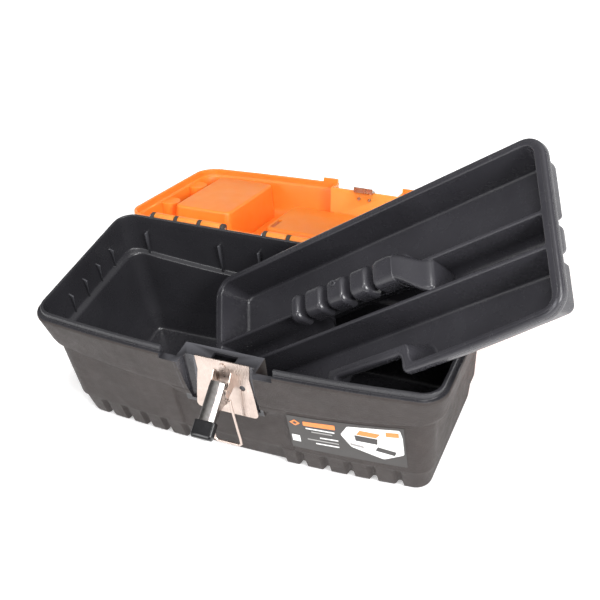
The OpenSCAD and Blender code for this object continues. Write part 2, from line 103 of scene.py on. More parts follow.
def solid(name, verts, faces, mats=None):
    """Object from points in mm. Its normals are turned outwards."""
    mesh = slotted_mesh(name)
    mesh.from_pydata([tuple(float(c) * MM for c in v) for v in verts], [], faces)
    bm = bmesh.new()
    bm.from_mesh(mesh)
    if mats is not None:
        bm.faces.ensure_lookup_table()
        for f, m in zip(bm.faces, mats):
            f.material_index = m
    bmesh.ops.recalc_face_normals(bm, faces=bm.faces)
    bm.to_mesh(mesh)
    bm.free()
    return add_object(name, mesh)


def loft(name, rings, mats=None, mat=0):
    """Closed skin through rings of equal length, with flat caps."""
    n, m = len(rings[0]), len(rings)
    verts = np.concatenate([np.asarray(r, float) for r in rings])
    faces, index = [], []
    for i in range(m - 1):
        for j in range(n):
            k = (j + 1) % n
            faces.append((i * n + j, i * n + k, (i + 1) * n + k, (i + 1) * n + j))
            index.append(mats[i] if mats else mat)
    faces.append(tuple(range(n - 1, -1, -1)))
    faces.append(tuple((m - 1) * n + j for j in range(n)))
    index += [mats[0] if mats else mat, mats[-1] if mats else mat]
    return solid(name, verts, faces, index)


def extrude(name, poly, lo, hi, place, mat=0):
    """Prism: place(a, b, t) gives the point in space of polygon point (a, b) at height t."""
    return loft(name, [[place(a, b, lo) for a, b in poly], [place(a, b, hi) for a, b in poly]], mat=mat)


def box(name, x0, x1, y0, y1, z0, z1, mat=0):
    """Plain block, used to cut with or as part of a larger shape."""
    return extrude(name, [(x0, y0), (x1, y0), (x1, y1), (x0, y1)], z0, z1, lambda a, b, t: (a, b, t), mat)


def circle(cx, cy, r, steps=32):
    return [(cx + r * math.cos(2 * math.pi * i / steps), cy + r * math.sin(2 * math.pi * i / steps))
            for i in range(steps)]


def along_x(a, b, t):
    return (t, a, b)


def along_y(a, b, t):
    return (a, t, b)


def along_z(a, b, t):
    return (a, b, t)


def x_rod(name, x0, x1, y, z, r, steps=32, round_end=0.0, mat=0):
    """Rod along X, with its end edges rounded by round_end."""
    if not round_end:
        return extrude(name, circle(y, z, r, steps), x0, x1, along_x, mat)
    e = round_end
    rows = [(x0, r - e), (x0 + 0.3 * e, r - 0.3 * e), (x0 + e, r),
            (x1 - e, r), (x1 - 0.3 * e, r - 0.3 * e), (x1, r - e)]
    return loft(name, [[(x, a, b) for a, b in circle(y, z, q, steps)] for x, q in rows], mat=mat)


def join(name, parts):
    """One object out of several, with their material numbers kept."""
    bm = bmesh.new()
    for p in parts:
        bm.from_mesh(p.data)
        discard(p)
    mesh = slotted_mesh(name)
    bm.to_mesh(mesh)
    bm.free()
    return add_object(name, mesh)


def bake(obj):
    """Applies the object's modifiers to its mesh."""
    graph = bpy.context.evaluated_depsgraph_get()
    mesh = bpy.data.meshes.new_from_object(obj.evaluated_get(graph))
    obj.modifiers.clear()
    old = obj.data
    obj.data = mesh
    bpy.data.meshes.remove(old)
    return obj


def carve(base, operation, *tools):
    """Boolean of base with each tool in turn; the tools are used up."""
    for tool in tools:
        m = base.modifiers.new("carve", "BOOLEAN")
        m.operation = operation
        m.solver = "MANIFOLD"
        m.object = tool
    bake(base)
    for tool in tools:
        discard(tool)
    return base


def finish_mesh(obj, materials, angle=35):
    """Shades smooth with sharp edges above angle, and fills the material slots."""
    for i in range(len(obj.data.materials)):
        obj.data.materials[i] = materials[min(i, len(materials) - 1)]
    obj.data.shade_smooth()
    obj.data.set_sharp_from_angle(angle=math.radians(angle))
    return obj


def place_mesh(obj, matrix):
    """Moves the mesh itself by a matrix in metres."""
    obj.data.transform(matrix)
    obj.data.update()
    return obj


# ---------- rings ----------

CORNER_STEPS = 12
END_STEPS = 26
FIXED_X = 126.0    # the long sides' even stations reach this far from the middle
LIP_REACH = 155    # the lip's dip reaches this far from the middle
LONG_X = np.linspace(-FIXED_X, FIXED_X, 241)


def arc(cx, cy, r, start, steps):
    """Quarter circle from the angle start, in degrees."""
    turns = [math.radians(start + 90 * i / steps) for i in range(steps + 1)]
    return [(cx + r * math.cos(t), cy + r * math.sin(t)) for t in turns]


def plan(hl, hw, r):
    """Rounded rectangle whose stations on the long sides stand at the same x on every ring."""
    x, y = hl - r, hw - r
    edge = [FIXED_X + (x - FIXED_X) * i / 4 for i in (1, 2, 3)]
    row = [-e for e in edge[::-1]] + list(LONG_X) + edge
    ends = np.linspace(-y, y, END_STEPS + 1)[1:-1]
    points = arc(x, -y, r, -90, CORNER_STEPS) + [(hl, t) for t in ends] + arc(x, y, r, 0, CORNER_STEPS)
    points += [(t, hw) for t in row[::-1]]
    points += arc(-x, y, r, 90, CORNER_STEPS) + [(-hl, t) for t in ends[::-1]] + arc(-x, -y, r, 180, CORNER_STEPS)
    points += [(t, -hw) for t in row]
    return np.array(points)


def hump(x, reach, full):
    """A parabola that is full at x = 0 and gone at x = reach."""
    return np.where(np.abs(x) < reach, full * (1 - (np.asarray(x) / reach) ** 2), 0.0)


def ramp(t):
    """0 below t = 0, 1 above t = 1, smooth between."""
    t = np.clip(t, 0, 1)
    return t * t * (3 - 2 * t)


def round_off(d, r):
    """1 up to d = 0, then a quarter circle down to 0 at d = r."""
    return math.sqrt(max(0.0, 1 - max(0.0, d / r) ** 2))


def ring(hl, hw, r, bow, z, dip=0.0, mid_y=0.0):
    """Ring of plan() at height z, with a bowed front and a dip towards the middle."""
    p = plan(hl, hw, r)
    y = p[:, 1] + mid_y - np.where(p[:, 1] < 0, hump(p[:, 0], hl - r, bow), 0)
    return np.column_stack([p[:, 0], y, z - hump(p[:, 0], LIP_REACH, dip)])


def refine(rows, steps=4, longest=4.0):
    """Rounds the corners of a profile and splits its long stretches.
    Row layout: in_x, in_y, r, z, dip, rounding, material of the stretch after the row."""
    rows = [np.array(r, float) for r in rows]
    out = []

    def gap(a, b):
        return math.hypot(a[1] - b[1], a[3] - b[3])

    for i, p in enumerate(rows):
        if i in (0, len(rows) - 1):
            out.append(p)
            continue
        a, b = rows[i - 1], rows[i + 1]
        size = p[5]
        ta = min(0.48, size / max(gap(p, a), 1e-6))
        tb = min(0.48, size / max(gap(p, b), 1e-6))
        s, e = p + (a - p) * ta, p + (b - p) * tb
        for k in range(steps + 1):
            t = k / steps
            q = s * (1 - t) ** 2 + p * 2 * t * (1 - t) + e * t * t
            q[6] = a[6] if t < 0.5 else p[6]
            out.append(q)
    full = [out[0]]
    for q in out[1:]:
        last = full[-1]
        n = max(1, int(math.ceil(gap(last, q) / longest)))
        for k in range(1, n + 1):
            s = last + (q - last) * k / n
            s[6] = last[6] if k < n else q[6]
            full.append(s)
    return full


# ---------- tub ----------

HALF_LEN, HALF_DEP, BAND_TOP, BOW = 165.0, 71.75, 108.0, 8.1
LIP_DIP = 9.9
WALL_LOW, WALL_HIGH = 24.6, 78.5    # the wall between the foot and the band
GROOVES = (48.5, 68, 86.5, 104.6, 124)
OUT, IN = 0, 1
HINGE_Y, HINGE_Z = HALF_DEP + 2.95, 106.6
LUG_R, ROOM_R, PIN_BORE_R, RIVET_BORE_R = 4.2, 4.6, 1.55, 1.35
HINGE_ZONES = ((-135, -113, -91, -69.5), (-31, -10, 10, 31), (69.5, 91, 113, 135))
LUG_XS = [x for zone in HINGE_ZONES for x in zone]
KNUCKLE_SPANS = [span for zone in HINGE_ZONES for span in zip(zone[:-1], zone[1:])]

TUB_ROWS = [
    (36, 32, 5, 0, 0, 0, OUT), (24, 20, 9, 0, 0, 0.3, OUT), (20.8, 16.8, 11, 1.5, 0, 1.2, OUT),
    (19.6, 15.6, 12, 4, 0, 1.4, OUT), (17.3, 12.0, 12, 23.0, 0, 0.9, OUT), (15.5, 10.4, 13, WALL_LOW, 0, 0.5, OUT),
    (11.2, 7.5, 14, WALL_HIGH, LIP_DIP, 0.8, OUT), (6, 6.4, 16, 80, LIP_DIP, 0.9, OUT),
    (4.2, 5.4, 17, 83.5, LIP_DIP, 1.2, OUT), (0.4, 0.4, 18.5, 104, 0, 1.2, OUT),
    (0, 0, 18.5, 106.5, 0, 0.9, OUT), (0.7, 0.7, 18, 108, 0, 0.7, IN),
    (3.4, 3.4, 15.6, 108, 0, 0.5, IN), (3.8, 3.8, 15.2, 112, 0, 0.5, IN),
    (6, 6, 13, 112.4, 0, 0.7, IN), (6.6, 6.6, 12.4, 108, 0, 1.0, IN), (7.4, 7, 12, 96, 0, 1.0, IN),
    (8.6, 8.2, 11.5, 80.5, LIP_DIP, 1.0, IN), (13.1, 11.9, 11, 79, LIP_DIP, 1.2, IN),
    (20.5, 16.6, 10, 26, 0, 3.0, IN), (26.5, 21, 7, 3, 0, 3.0, IN), (31, 25.5, 5, 3, 0, 0, IN)]


def bow_at(z):
    """Bow of the front wall at height z."""
    return BOW * (2 + z / BAND_TOP) / 3


def dipped(z, x):
    """Height z lowered by the lip's dip at x."""
    return z - float(hump(x, LIP_REACH, LIP_DIP))


def panel_top(a):
    """Top edge of the latch panel at a distance from the middle."""
    return 61.6 + 3.4 * ramp((a - 37) / 9)


def foot_depth(x, z, front):
    """How far the long walls are set back, in mm: the foot's grooves, its middle and the latch panel."""
    a = np.abs(x)
    groove = np.zeros_like(x)
    for g in GROOVES:
        t = np.clip(np.abs(a - g) / 3.4, 0, 1)
        groove = np.maximum(groove, (1 - t * t) ** 0.7)
    low = 1 - ramp((z - 20.4) / 2.2)
    depth = 3.0 * groove * low
    depth = np.maximum(depth, 3.2 * (1 - ramp((a - 34) / 1.4)) * (1 - ramp((z - 21.5) / 2.0)))
    if front:
        panel = 1.7 * (1 - ramp((a - 46.6) / 1.1)) * (1 - ramp((z - panel_top(a)) / 1.3)) * ramp((z - 22) / 3)
        depth = np.maximum(depth, panel)
    return depth


def tub_ring(row):
    """Ring of the tub for one profile row, with the foot and the latch panel worked into its long sides."""
    in_x, in_y, r, z, dip = row[:5]
    v = ring(HALF_LEN - in_x, HALF_DEP - in_y, r, bow_at(z), z, dip)
    if row[6] == OUT and z < 80:
        side = np.abs(plan(HALF_LEN - in_x, HALF_DEP - in_y, r)[:, 1]) > HALF_DEP - in_y - 0.6
        front = v[:, 1] < 0
        depth = np.where(front, foot_depth(v[:, 0], v[:, 2], True), foot_depth(v[:, 0], v[:, 2], False))
        # beside the latch the band's face runs on down to the panel's top edge
        band = 5.4 + (83.5 - hump(v[:, 0], LIP_REACH, LIP_DIP) - v[:, 2]) * 5 / 20.5
        a = np.abs(v[:, 0])
        proud = np.clip(in_y - band, 0, 4) * (1 - ramp((a - 46.2) / 1.1)) * ramp((v[:, 2] - panel_top(a)) / 1.3)
        depth = np.where(front & (v[:, 2] < 83), depth - proud, depth)
        depth = np.where(side, depth, 0)
        v[:, 1] += np.where(front, depth, -depth)
        # the base is raised a little between the lobes
        gap = np.zeros_like(a)
        for g in GROOVES:
            gap = np.maximum(gap, 1 - ramp((np.abs(a - g) - 1.4) / 2.2))
        rise = 2.8 * max(0, 1 - z / 8) * float(ramp((31 - in_y) / 9))
        v[:, 2] += np.where(side, rise * gap, 0)
    return v


PLATE_Y0, PLATE_TILT = -79.6, math.atan(0.1)
SEAT_HALF, KEEPER_SLOT_HALF = 24, 9.6


def plate_place(a, b, t):
    """Point of the plate's plane: a across, b outwards (negative) from its face, t up it."""
    c, s = math.cos(PLATE_TILT), math.sin(PLATE_TILT)
    return (a, PLATE_Y0 + b * c + t * s, -b * s + t * c)


def pin_bores():
    """Cutters for the three hinge pins, shared by the tub's lugs and the lid's knuckles."""
    return [x_rod("bore", a, b, HINGE_Y, HINGE_Z, PIN_BORE_R) for a, b in ((-140, -64), (-36, 36), (64, 140))]


def build_tub():
    """Tub with its alcove, ribs, hinge lugs and bores."""
    rows = refine(TUB_ROWS)
    tub = loft("tub_shell", [tub_ring(r) for r in rows], mats=[int(r[6]) for r in rows[:-1]])
    # thicker wall behind the alcove, bounded by the tub's own outside
    outer = refine(TUB_ROWS[:11] + [(0.7, 0.7, 18, 108, 0, 0, OUT)])
    block = loft("alcove_block", [tub_ring((r[0], r[1], r[2], r[3], r[4], 0, IN)) for r in outer], mat=IN)
    carve(block, "INTERSECT", box("b", -35.2, 28.4, -90, -56.5, 58.5, 104))
    carve(tub, "UNION", block)
    left = [(-34.4, -95), (-33.8, -79.8), (-32.6, -77.8), (-31.7, -75.7), (-31.2, -73.4), (-30.8, -71.2),
            (-30.2, -69.4), (-29.4, -68.5), (-28.2, -68.1)]
    right = [(25.7, -68.1), (25.9, -71.4), (26.2, -73.6), (26.9, -75.8), (28.0, -77.8), (29.4, -79.8), (30.2, -95)]
    recess = extrude("recess", left + right, 61.8, 130, along_z, IN)
    # seat that the plate is riveted to
    seat_plan = [(-SEAT_HALF, 1.05), (SEAT_HALF, 1.05), (SEAT_HALF, 9), (-SEAT_HALF, 9)]
    seat = extrude("seat", seat_plan, 62.0, 104.4, plate_place, IN)
    cuts = [recess, box("rim", -46, 44, -100, -55, 103.5, 118, IN),
            box("slot", -KEEPER_SLOT_HALF, KEEPER_SLOT_HALF, -66, -61, 90, 113, IN),
            box("hollow", -26.5, 25.4, -65, -58.5, 40, 101, IN)]
    cuts += [x_rod("room", a + 1.5, b - 1.5, HINGE_Y, HINGE_Z, ROOM_R, mat=OUT) for a, b in KNUCKLE_SPANS]
    carve(tub, "DIFFERENCE", *cuts)
    seat_limit = box("limit", -SEAT_HALF, SEAT_HALF, -75, -66.5, 61.9, 103.4, IN)
    carve(tub, "UNION", carve(seat, "INTERSECT", seat_limit))
    carve(tub, "DIFFERENCE", box("slot", -KEEPER_SLOT_HALF, KEEPER_SLOT_HALF, -68.1, -61, 99, 113, IN))
    # ribs under the rim: on the end walls and on the back wall
    adds = []
    for side in (-1, 1):
        for y in (-27.4, -7, 13.3, 34.5):
            poly = [(side * a, z) for a, z in ((158.6, 98.6), (153.9, 96.4), (154.6, 92), (155.2, 79.5), (158.5, 79.5))]
            adds.append(extrude("rib", poly, y - 0.6, y + 0.6, along_y, IN))
    for x in (-138, -69, -33, 33, 69, 138):
        adds.append(box("rib", x - 0.8, x + 0.8, 61.25, 65.75, dipped(WALL_HIGH, x), 98, IN))
    carve(tub, "UNION", join("ribs", adds))
    lugs = []
    for x in LUG_XS:
        lug = x_rod("lug", x - 1.5, x + 1.5, HINGE_Y, HINGE_Z, LUG_R, round_end=0.35, mat=OUT)
        root = box("root", x - 1.4, x + 1.4, HALF_DEP - 3, HINGE_Y, HINGE_Z - LUG_R, HINGE_Z, OUT)
        lugs.append(carve(lug, "UNION", root))
    carve(tub, "UNION", join("lugs", lugs))
    rivets = [extrude("hole", circle(0, z, RIVET_BORE_R), -2, 10, lambda a, b, t: plate_place(a, t, b))
              for z in (66, 100)]
    carve(tub, "DIFFERENCE", *pin_bores(), *rivets)
    return tub


# ---------- lid, built closed ----------

LID_OPEN = math.radians(196.4)
HINGE = Vector((0, HINGE_Y * MM, HINGE_Z * MM))
LID_RIM = 108.3
WELL_X = 117    # middle of each deep well
COVER_HINGE_Y, COVER_HINGE_Z = 25.5, 144.8
HANDLE_PIVOT_Y, HANDLE_PIVOT_Z = -2, 136


def lid_ring(row):
    """Ring of the closed lid for one profile row."""
    in_x, in_y, r, z = row[:4]
    return ring(165.3 - in_x, 72.75 - in_y, r, 9.3, z, 0, -0.95)


def taper_box(name, x0, x1, y0, y1, z0, z1, r, inset, fillet=2.0, top_flare=0.0, mat=0):
    """Rounded box that narrows towards its bottom, with its bottom edge rounded and, for a cut, its mouth flared."""
    hl, hw = (x1 - x0) / 2, (y1 - y0) / 2
    cx, cy = (x0 + x1) / 2, (y0 + y1) / 2
    rows = []
    for k in range(5):
        t = math.radians(90 * k / 4)
        rows.append((inset + fillet * (1 - math.sin(t)), z0 + fillet * (1 - math.cos(t))))
    rows = [(inset + fillet + 1.0, z0)] + rows
    if top_flare:
        rows += [(0, z1 - top_flare), (-0.3 * top_flare, z1 - 0.3 * top_flare), (-top_flare, z1), (-top_flare, z1 + 3)]
    else:
        rows += [(0, z1)]
    rings = []
    for d, z in rows:
        q = max(r - d * 0.6, 0.6)
        pts = []
        for px, py, start in ((hl - d - q, -(hw - d - q), -90), (hl - d - q, hw - d - q, 0),
                              (-(hl - d - q), hw - d - q, 90), (-(hl - d - q), -(hw - d - q), 180)):
            pts += arc(px, py, q, start, 8)
        rings.append([(cx + a, cy + b, z) for a, b in pts])
    return loft(name, rings, mat=mat)


LID_OUT = [(13, 12, 9, 146, 0, 0, 0), (9, 8.4, 12.5, 145.2, 0, 2.5, 0), (6.4, 6, 15.5, 142.6, 0, 2.2, 0),
           (5, 4.8, 18, 138, 0, 3.0, 0), (1.4, 1.2, 19.8, 113.7, 0, 0.5, 0), (0, 0, 20, 112.9, 0, 0.5, 0),
           (0, 0, 20, LID_RIM, 0, 0.4, 0)]
LID_IN = [(2.3, 2.3, 18, LID_RIM, 0, 0.4, 0), (2.4, 2.4, 18, 113.7, 0, 0.6, 0), (3.6, 3.4, 17.6, 114.7, 0, 0.6, 0),
          (7.2, 7, 16, 137, 0, 2.5, 0), (9, 8.6, 13.5, 141, 0, 2.0, 0), (12, 11.4, 10.5, 143.2, 0, 1.8, 0),
          (16, 15, 7, 144, 0, 0, 0)]


def build_lid():
    """Closed lid with its wells, recess, alcove, knuckles, tongues and bores."""
    lid = loft("lid_shell_piece", [lid_ring(r) for r in refine(LID_OUT + LID_IN)])
    columns = []
    for side in (-1, 1):
        for y in (-40, 10):
            columns.append(extrude("column", circle(side * 157, y, 9, 48), 115.3, 144.3, along_z))
    block = box("block", -33, 33, -90, -67.5, LID_RIM, 138)
    whole = loft("lid_solid", [lid_ring(r) for r in refine(LID_OUT)])
    inner_parts = carve(whole, "INTERSECT", join("parts", columns + [block]))
    wells = [taper_box("well", s * WELL_X - 29.5, s * WELL_X + 29.5, -67.5, 28, 112.5, 144.8, 7, 2.5, 2.2)
             for s in (-1, 1)]
    recess = taper_box("recess", -66, 66, -56, 12, 126, 145, 8, 2, 3.0)
    carve(lid, "UNION", inner_parts, wells[0], wells[1], recess)
    cuts = [x_rod("room", x - 1.9, x + 1.9, HINGE_Y, HINGE_Z, ROOM_R) for x in LUG_XS]
    for s in (-1, 1):
        cuts.append(taper_box("cut", s * WELL_X - 24.5, s * WELL_X + 24.5, -59, 23, 114.5, 144.2, 5, 1.5, 2.0))
        cuts.append(box("step", s * WELL_X - 27.5, s * WELL_X + 27.5, -62, 27.5, 143.8, 151))
        cuts.append(box("foot", s * 58 - 2, s * 58 + 2, -13, 6, 116, 136))
    cuts.append(taper_box("cut", -64, 64, -54, 10, 128, 148, 7, 2, 3.0))
    cuts.append(box("alcove", -31, 31, -100, -69.5, 100, 134))
    carve(lid, "DIFFERENCE", *cuts)
    adds = []
    for a, b in KNUCKLE_SPANS:
        knuckle = x_rod("knuckle", a + 1.9, b - 1.9, HINGE_Y, HINGE_Z, LUG_R, round_end=0.3)
        web = box("web", a + 2.1, b - 2.1, HINGE_Y - 3.6, HINGE_Y, LID_RIM, HINGE_Z + LUG_R)
        adds.append(carve(knuckle, "UNION", web))
    for s in (-1, 1):
        for end in (-1, 1):
            cx = s * WELL_X + end * 26.1
            adds.append(box("seat", cx - 1.2, cx + 1.2, 23.8, 27.2, 143.2, 146))
    # small stiffening webs inside the front wall
    for x in (-105, 105):
        adds.append(extrude("web", [(-70.9, 116), (-68, 130), (-64.5, 144.5), (-70, 144.5), (-72.2, 116)],
                            x - 0.8, x + 0.8, along_x))
    carve(lid, "UNION", *adds)
    # tongues that fill the tub's lowered rim beside the alcove
    ring_out = [(v[0], v[1]) for v in lid_ring((0, 0, 20, 0))]
    ring_in = [(v[0], v[1]) for v in lid_ring((2.3, 2.3, 18, 0))]
    rim = extrude("rim", ring_out, 104.5, 112, along_z)
    carve(rim, "DIFFERENCE", extrude("hole", ring_in, 100, 120, along_z))
    tab_boxes = join("tabs", [box("t", s * 38.5 - 7, s * 38.5 + 7, -95, -65, 98, 118) for s in (-1, 1)])
    carve(rim, "INTERSECT", tab_boxes)
    carve(lid, "UNION", rim)
    bores = pin_bores()
    bores += [x_rod("bore", s * 64 - 4, s * 64 + 4, HANDLE_PIVOT_Y, HANDLE_PIVOT_Z, 2.55) for s in (-1, 1)]
    bores += [x_rod("bore", s * WELL_X - 27.1, s * WELL_X + 27.1, COVER_HINGE_Y, COVER_HINGE_Z, 0.85)
              for s in (-1, 1)]
    bores += [extrude("hole", circle(s * 5, 115, RIVET_BORE_R), -75, -63, along_y) for s in (-1, 1)]
    carve(lid, "DIFFERENCE", *bores)
    return lid


def opened(obj):
    """Turns a mesh built on the closed lid to the open place it has at rest."""
    turn = Matrix.Translation(HINGE) @ Matrix.Rotation(-LID_OPEN, 4, "X") @ Matrix.Translation(-HINGE)
    return place_mesh(obj, turn)


# ---------- tray, built level with its flange's top at z = 0 ----------

TRAY_TURN = (Matrix.Translation(Vector((84.9, -3.4, 133.5)) * MM) @ Matrix.Rotation(math.radians(2.3), 4, "Z")
             @ Matrix.Rotation(math.radians(-33.6), 4, "Y") @ Matrix.Rotation(math.radians(32.8), 4, "X"))
TRAY_BOW = 5.2
TRAY_HALF_LEN, TRAY_HALF_DEP, POCKET_HALF_LEN = 157.2, 63.6, 149
FINGER_GROOVES = (-53, -31, -9, 12.5)
GATE_X, GATE_Y = -20.5, 12.6


def round_corner(p, a, b, r, steps):
    """Arc of radius about r that joins the edges a-p and p-b, both along X or Y."""
    pa = np.array([np.sign(a[0] - p[0]), np.sign(a[1] - p[1])])
    pb = np.array([np.sign(b[0] - p[0]), np.sign(b[1] - p[1])])
    p = np.array(p)
    centre = p + (pa + pb) * r
    out = []
    for k in range(steps + 1):
        t = math.radians(90 * k / steps)
        out.append(tuple(centre - pb * r * math.cos(t) - pa * r * math.sin(t)))
    return out


def corner_path(corners, counts):
    """Closed path through corners (x, y, radius), each rounded, with counts[i] steps on the edge after corner i."""
    n = len(corners)
    arcs = [round_corner(c[:2], corners[i - 1], corners[(i + 1) % n], c[2], 8) for i, c in enumerate(corners)]
    out = []
    for i in range(n):
        out += arcs[i]
        s, e = np.array(arcs[i][-1]), np.array(arcs[(i + 1) % n][0])
        out += [tuple(s + (e - s) * k / counts[i]) for k in range(1, counts[i])]
    return out


def notched(hl, y0, y1, radii, notch, notch_y, r_out, r_in, bow, d):
    """Rounded rectangle set in by d, with a bowed front that has a square notch in its middle."""
    hl, y0, y1 = hl - d, y0 + d, y1 - d
    n, ny = notch + d, notch_y + d
    front, back = (max(r - d, 0.4) for r in radii)
    path = corner_path([(hl, y0, front), (hl, y1, back), (-hl, y1, back), (-hl, y0, front),
                        (-n, y0, max(r_out - d, 0.5)), (-n, ny, max(r_in + d, 0.5)),
                        (n, ny, max(r_in + d, 0.5)), (n, y0, max(r_out - d, 0.5))], [10, 60, 10, 22, 3, 12, 3, 22])
    out = []
    for x, y in path:
        w = min(1, max(0, (ny - y) / (ny - y0)))
        out.append((x, y - w * float(hump(x, hl - front + 0.01, bow))))
    return out


def plain_outline(x0, x1, y0, y1, radii, d):
    """Rounded rectangle set in by d, with its front and its back corners' radii given."""
    x0, x1, y0, y1 = x0 + d, x1 - d, y0 + d, y1 - d
    most = (y1 - y0) / 2 - 0.05
    front, back = (max(min(r - d * 0.5, most), 0.3) for r in radii)
    return corner_path([(x1, y0, front), (x1, y1, back), (x0, y1, back), (x0, y0, front)], [4, 40, 4, 40])


def pocket_rows(depth, inset, fillet, flare):
    """(inset, z) from the bottom up to the mouth."""
    rows = [(inset + fillet + 0.8, -depth)]
    for k in range(7):
        t = math.radians(90 * k / 6)
        rows.append((inset + fillet * (1 - math.sin(t)), -depth + fillet * (1 - math.cos(t))))
    if flare:
        rows += [(0.02, -flare)]
        for k in range(1, 6):
            t = math.radians(90 * k / 5)
            rows.append((-flare * (1 - math.cos(t)), -flare + flare * math.sin(t)))
        rows.append((-flare, 2.5))
    return rows


def front_outline(d, r=None):
    return notched(POCKET_HALF_LEN, -57.3, -19.2, r or (8.5, 1.6), 37, -48, 4.5, 3.5, TRAY_BOW, d)


def middle_outline(d, r=None):
    return plain_outline(-POCKET_HALF_LEN, POCKET_HALF_LEN, -16.2, 5, r or (2.0, 2.0), d)


def back_outline(d, r=None):
    return plain_outline(-POCKET_HALF_LEN, POCKET_HALF_LEN, 8, 57.6, r or (1.6, 8.5), d)


def ridged(x, edges, half, blend):
    """1 on the ridges and 0 in the grooves centred on edges, with rounded shoulders."""
    s = 1.0
    for e in edges:
        t = min(1, max(0, (abs(x - e) - half) / blend))
        s = min(s, math.sqrt(1 - (1 - t) ** 2))
    return s


def arch(x, y0, y1, low, top, r):
    """Section of a rounded bar across X: flat sides from low, rounded shoulders of radius r, crowned top."""
    pts = [(y0 + 1.2, low), (y0 + 0.35, low + 0.35), (y0, low + 1.2)]
    for k in range(9):
        q = math.radians(180 - 90 * k / 8)
        pts.append((y0 + r + r * math.cos(q), top - r + r * math.sin(q)))
    for k in range(9):
        q = math.radians(90 - 90 * k / 8)
        pts.append((y1 - r + r * math.cos(q), top - r + r * math.sin(q)))
    pts += [(y1, low + 1.2), (y1 - 0.35, low + 0.35), (y1 - 1.2, low)]
    return [(x, a, b) for a, b in pts]


def build_tray():
    """Tray with its flange, three pockets, finger hole, grip bar and block."""
    def flange_outline(d):
        return notched(TRAY_HALF_LEN, -TRAY_HALF_DEP, TRAY_HALF_DEP, (17, 17), 30, -55, 4.0, 3.0, TRAY_BOW, d)

    # (inset, z) round the flange's skirt, its fine edge line and its top
    rows = [(3.0, -7.0), (0.9, -7.0), (0.35, -6.8), (0.1, -6.3), (0.0, -5.6), (0.0, -3.3), (0.28, -3.05), (0.0, -2.8),
            (0.0, -2.2), (0.12, -1.5), (0.5, -0.8), (1.1, -0.3), (1.9, -0.05), (2.9, 0.0), (3.1, -0.22), (3.3, -0.22),
            (3.5, 0.0), (4.2, 0.0)]
    rings = [[(x, y, z) for x, y in flange_outline(d)] for d, z in rows]
    tray = loft("tray_piece", rings)
    under = [[(x, y, z) for x, y in flange_outline(d)] for d, z in ((2.4, -8.0), (2.4, -3.0), (3.4, -2.2))]
    carve(tray, "DIFFERENCE", loft("under", under))
    shells, pockets = [], []
    for k, outline in enumerate((front_outline, middle_outline, back_outline)):
        inset, fillet = (4.5, 2.6) if k != 1 else (2.2, 7.6)
        radii = ((8.5, 4.2), (4.2, 4.2), (4.2, 8.5))[k]
        rows = [(d - 2, z) for d, z in pocket_rows(28, inset, fillet + 1.2, 0)] + [(-2.0, -1.0)]
        rings = []
        for d, z in rows:
            # the right end wall stands steeper than the others
            rings.append([(x + (0.4 - 0.11 * z) * float(ramp((x - 120) / 12)), y, z) for x, y in outline(d, radii)])
        shells.append(loft("shell", rings))
        rows = pocket_rows(26, inset, fillet, 1.2)
        pockets.append(loft("pocket", [[(x, y, z) for x, y in outline(d)] for d, z in rows]))
    carve(tray, "UNION", *shells)
    carve(tray, "DIFFERENCE", *pockets)
    # notches between the three rounded ends
    for y in (-17.7, 6.5):
        wedge = [(150.4, y), (153.6, y - 2.4), (175, y - 5), (175, y + 5), (153.6, y + 2.4)]
        carve(tray, "DIFFERENCE", extrude("notch", wedge, -42, -8.6, along_z))
    # finger hole through the trough's floor, running on under the bar, with a rounded left end
    hole = [(58, -15.6), (58, 4.4), (-46, 4.4)]
    hole += [(-46 - 5 * math.sin(math.radians(a)), -5.6 + 10 * math.cos(math.radians(a))) for a in range(0, 181, 15)]
    carve(tray, "DIFFERENCE", extrude("hole", hole, -34, -3, along_z))
    # the bar's rear half stands in the back pocket
    carve(tray, "UNION", taper_box("foot", -60, 42, 6.0, 16.5, -27, 1.0, 2.0, -1.5, 0.3))
    # grip bar with its finger grooves
    sections = []
    for x in np.arange(-67.4, 34.01, 0.55):
        s = ridged(x, FINGER_GROOVES, 1.5, 4.2)
        end = round_off(-61.4 - x, 6.05)
        y0, y1, top = 2.0 - 5.4 * s, 15.2 + 3.0 * s, 0.8 + 7.6 * s
        mid = (y0 + y1) / 2
        e = max(end, 0.12)
        low = -8.5
        sections.append(arch(x, mid - (mid - y0) * e, mid + (y1 - mid) * e, low, low + (top - low) * (0.35 + 0.65 * e),
                             min(6.2 * e + 0.2, (y1 - y0) / 2 * e - 0.1)))
    carve(tray, "UNION", loft("grip_bar", sections))
    # smooth block that widens from the bar into the trough and falls to the right
    sections = []
    for x in (15.8, 16.4, 17.2, 18.4, 20, 22, 24, 27, 30, 33, 36, 40, 44, 48, 52, 55, 57.5, 59.3, 60.6, 61.5, 62.0,
              62.2):
        t = float(ramp((x - 29) / 31))
        start = round_off(20.2 - x, 4.6)
        y0, y1 = 0.8 - 2.8 * start - 14.8 * t, 16.8 + 1.8 * start - 12.2 * t
        drop = 4.2 * (1 - round_off(x - 57.5, 4.75))
        top = 5.2 + 3.4 * start - 8.0 * float(ramp((x - 28) / 34)) - drop
        low = -8.5 - 16.0 * float(ramp((x - 52) / 5))
        sections.append(arch(x, y0, y1, low, top, 3.4 + 2.6 * (1 - t)))
    carve(tray, "UNION", loft("ramp_block", sections))
    # round mark left by the moulding gate on the middle lobe
    gate = extrude("gate", circle(GATE_X, GATE_Y, 2.4), 4, 9.1, along_z)
    carve(tray, "UNION", carve(gate, "DIFFERENCE", extrude("eye", circle(GATE_X, GATE_Y, 1.0), 7.6, 12, along_z)))
    return place_mesh(tray, TRAY_TURN)


# ---------- materials ----------

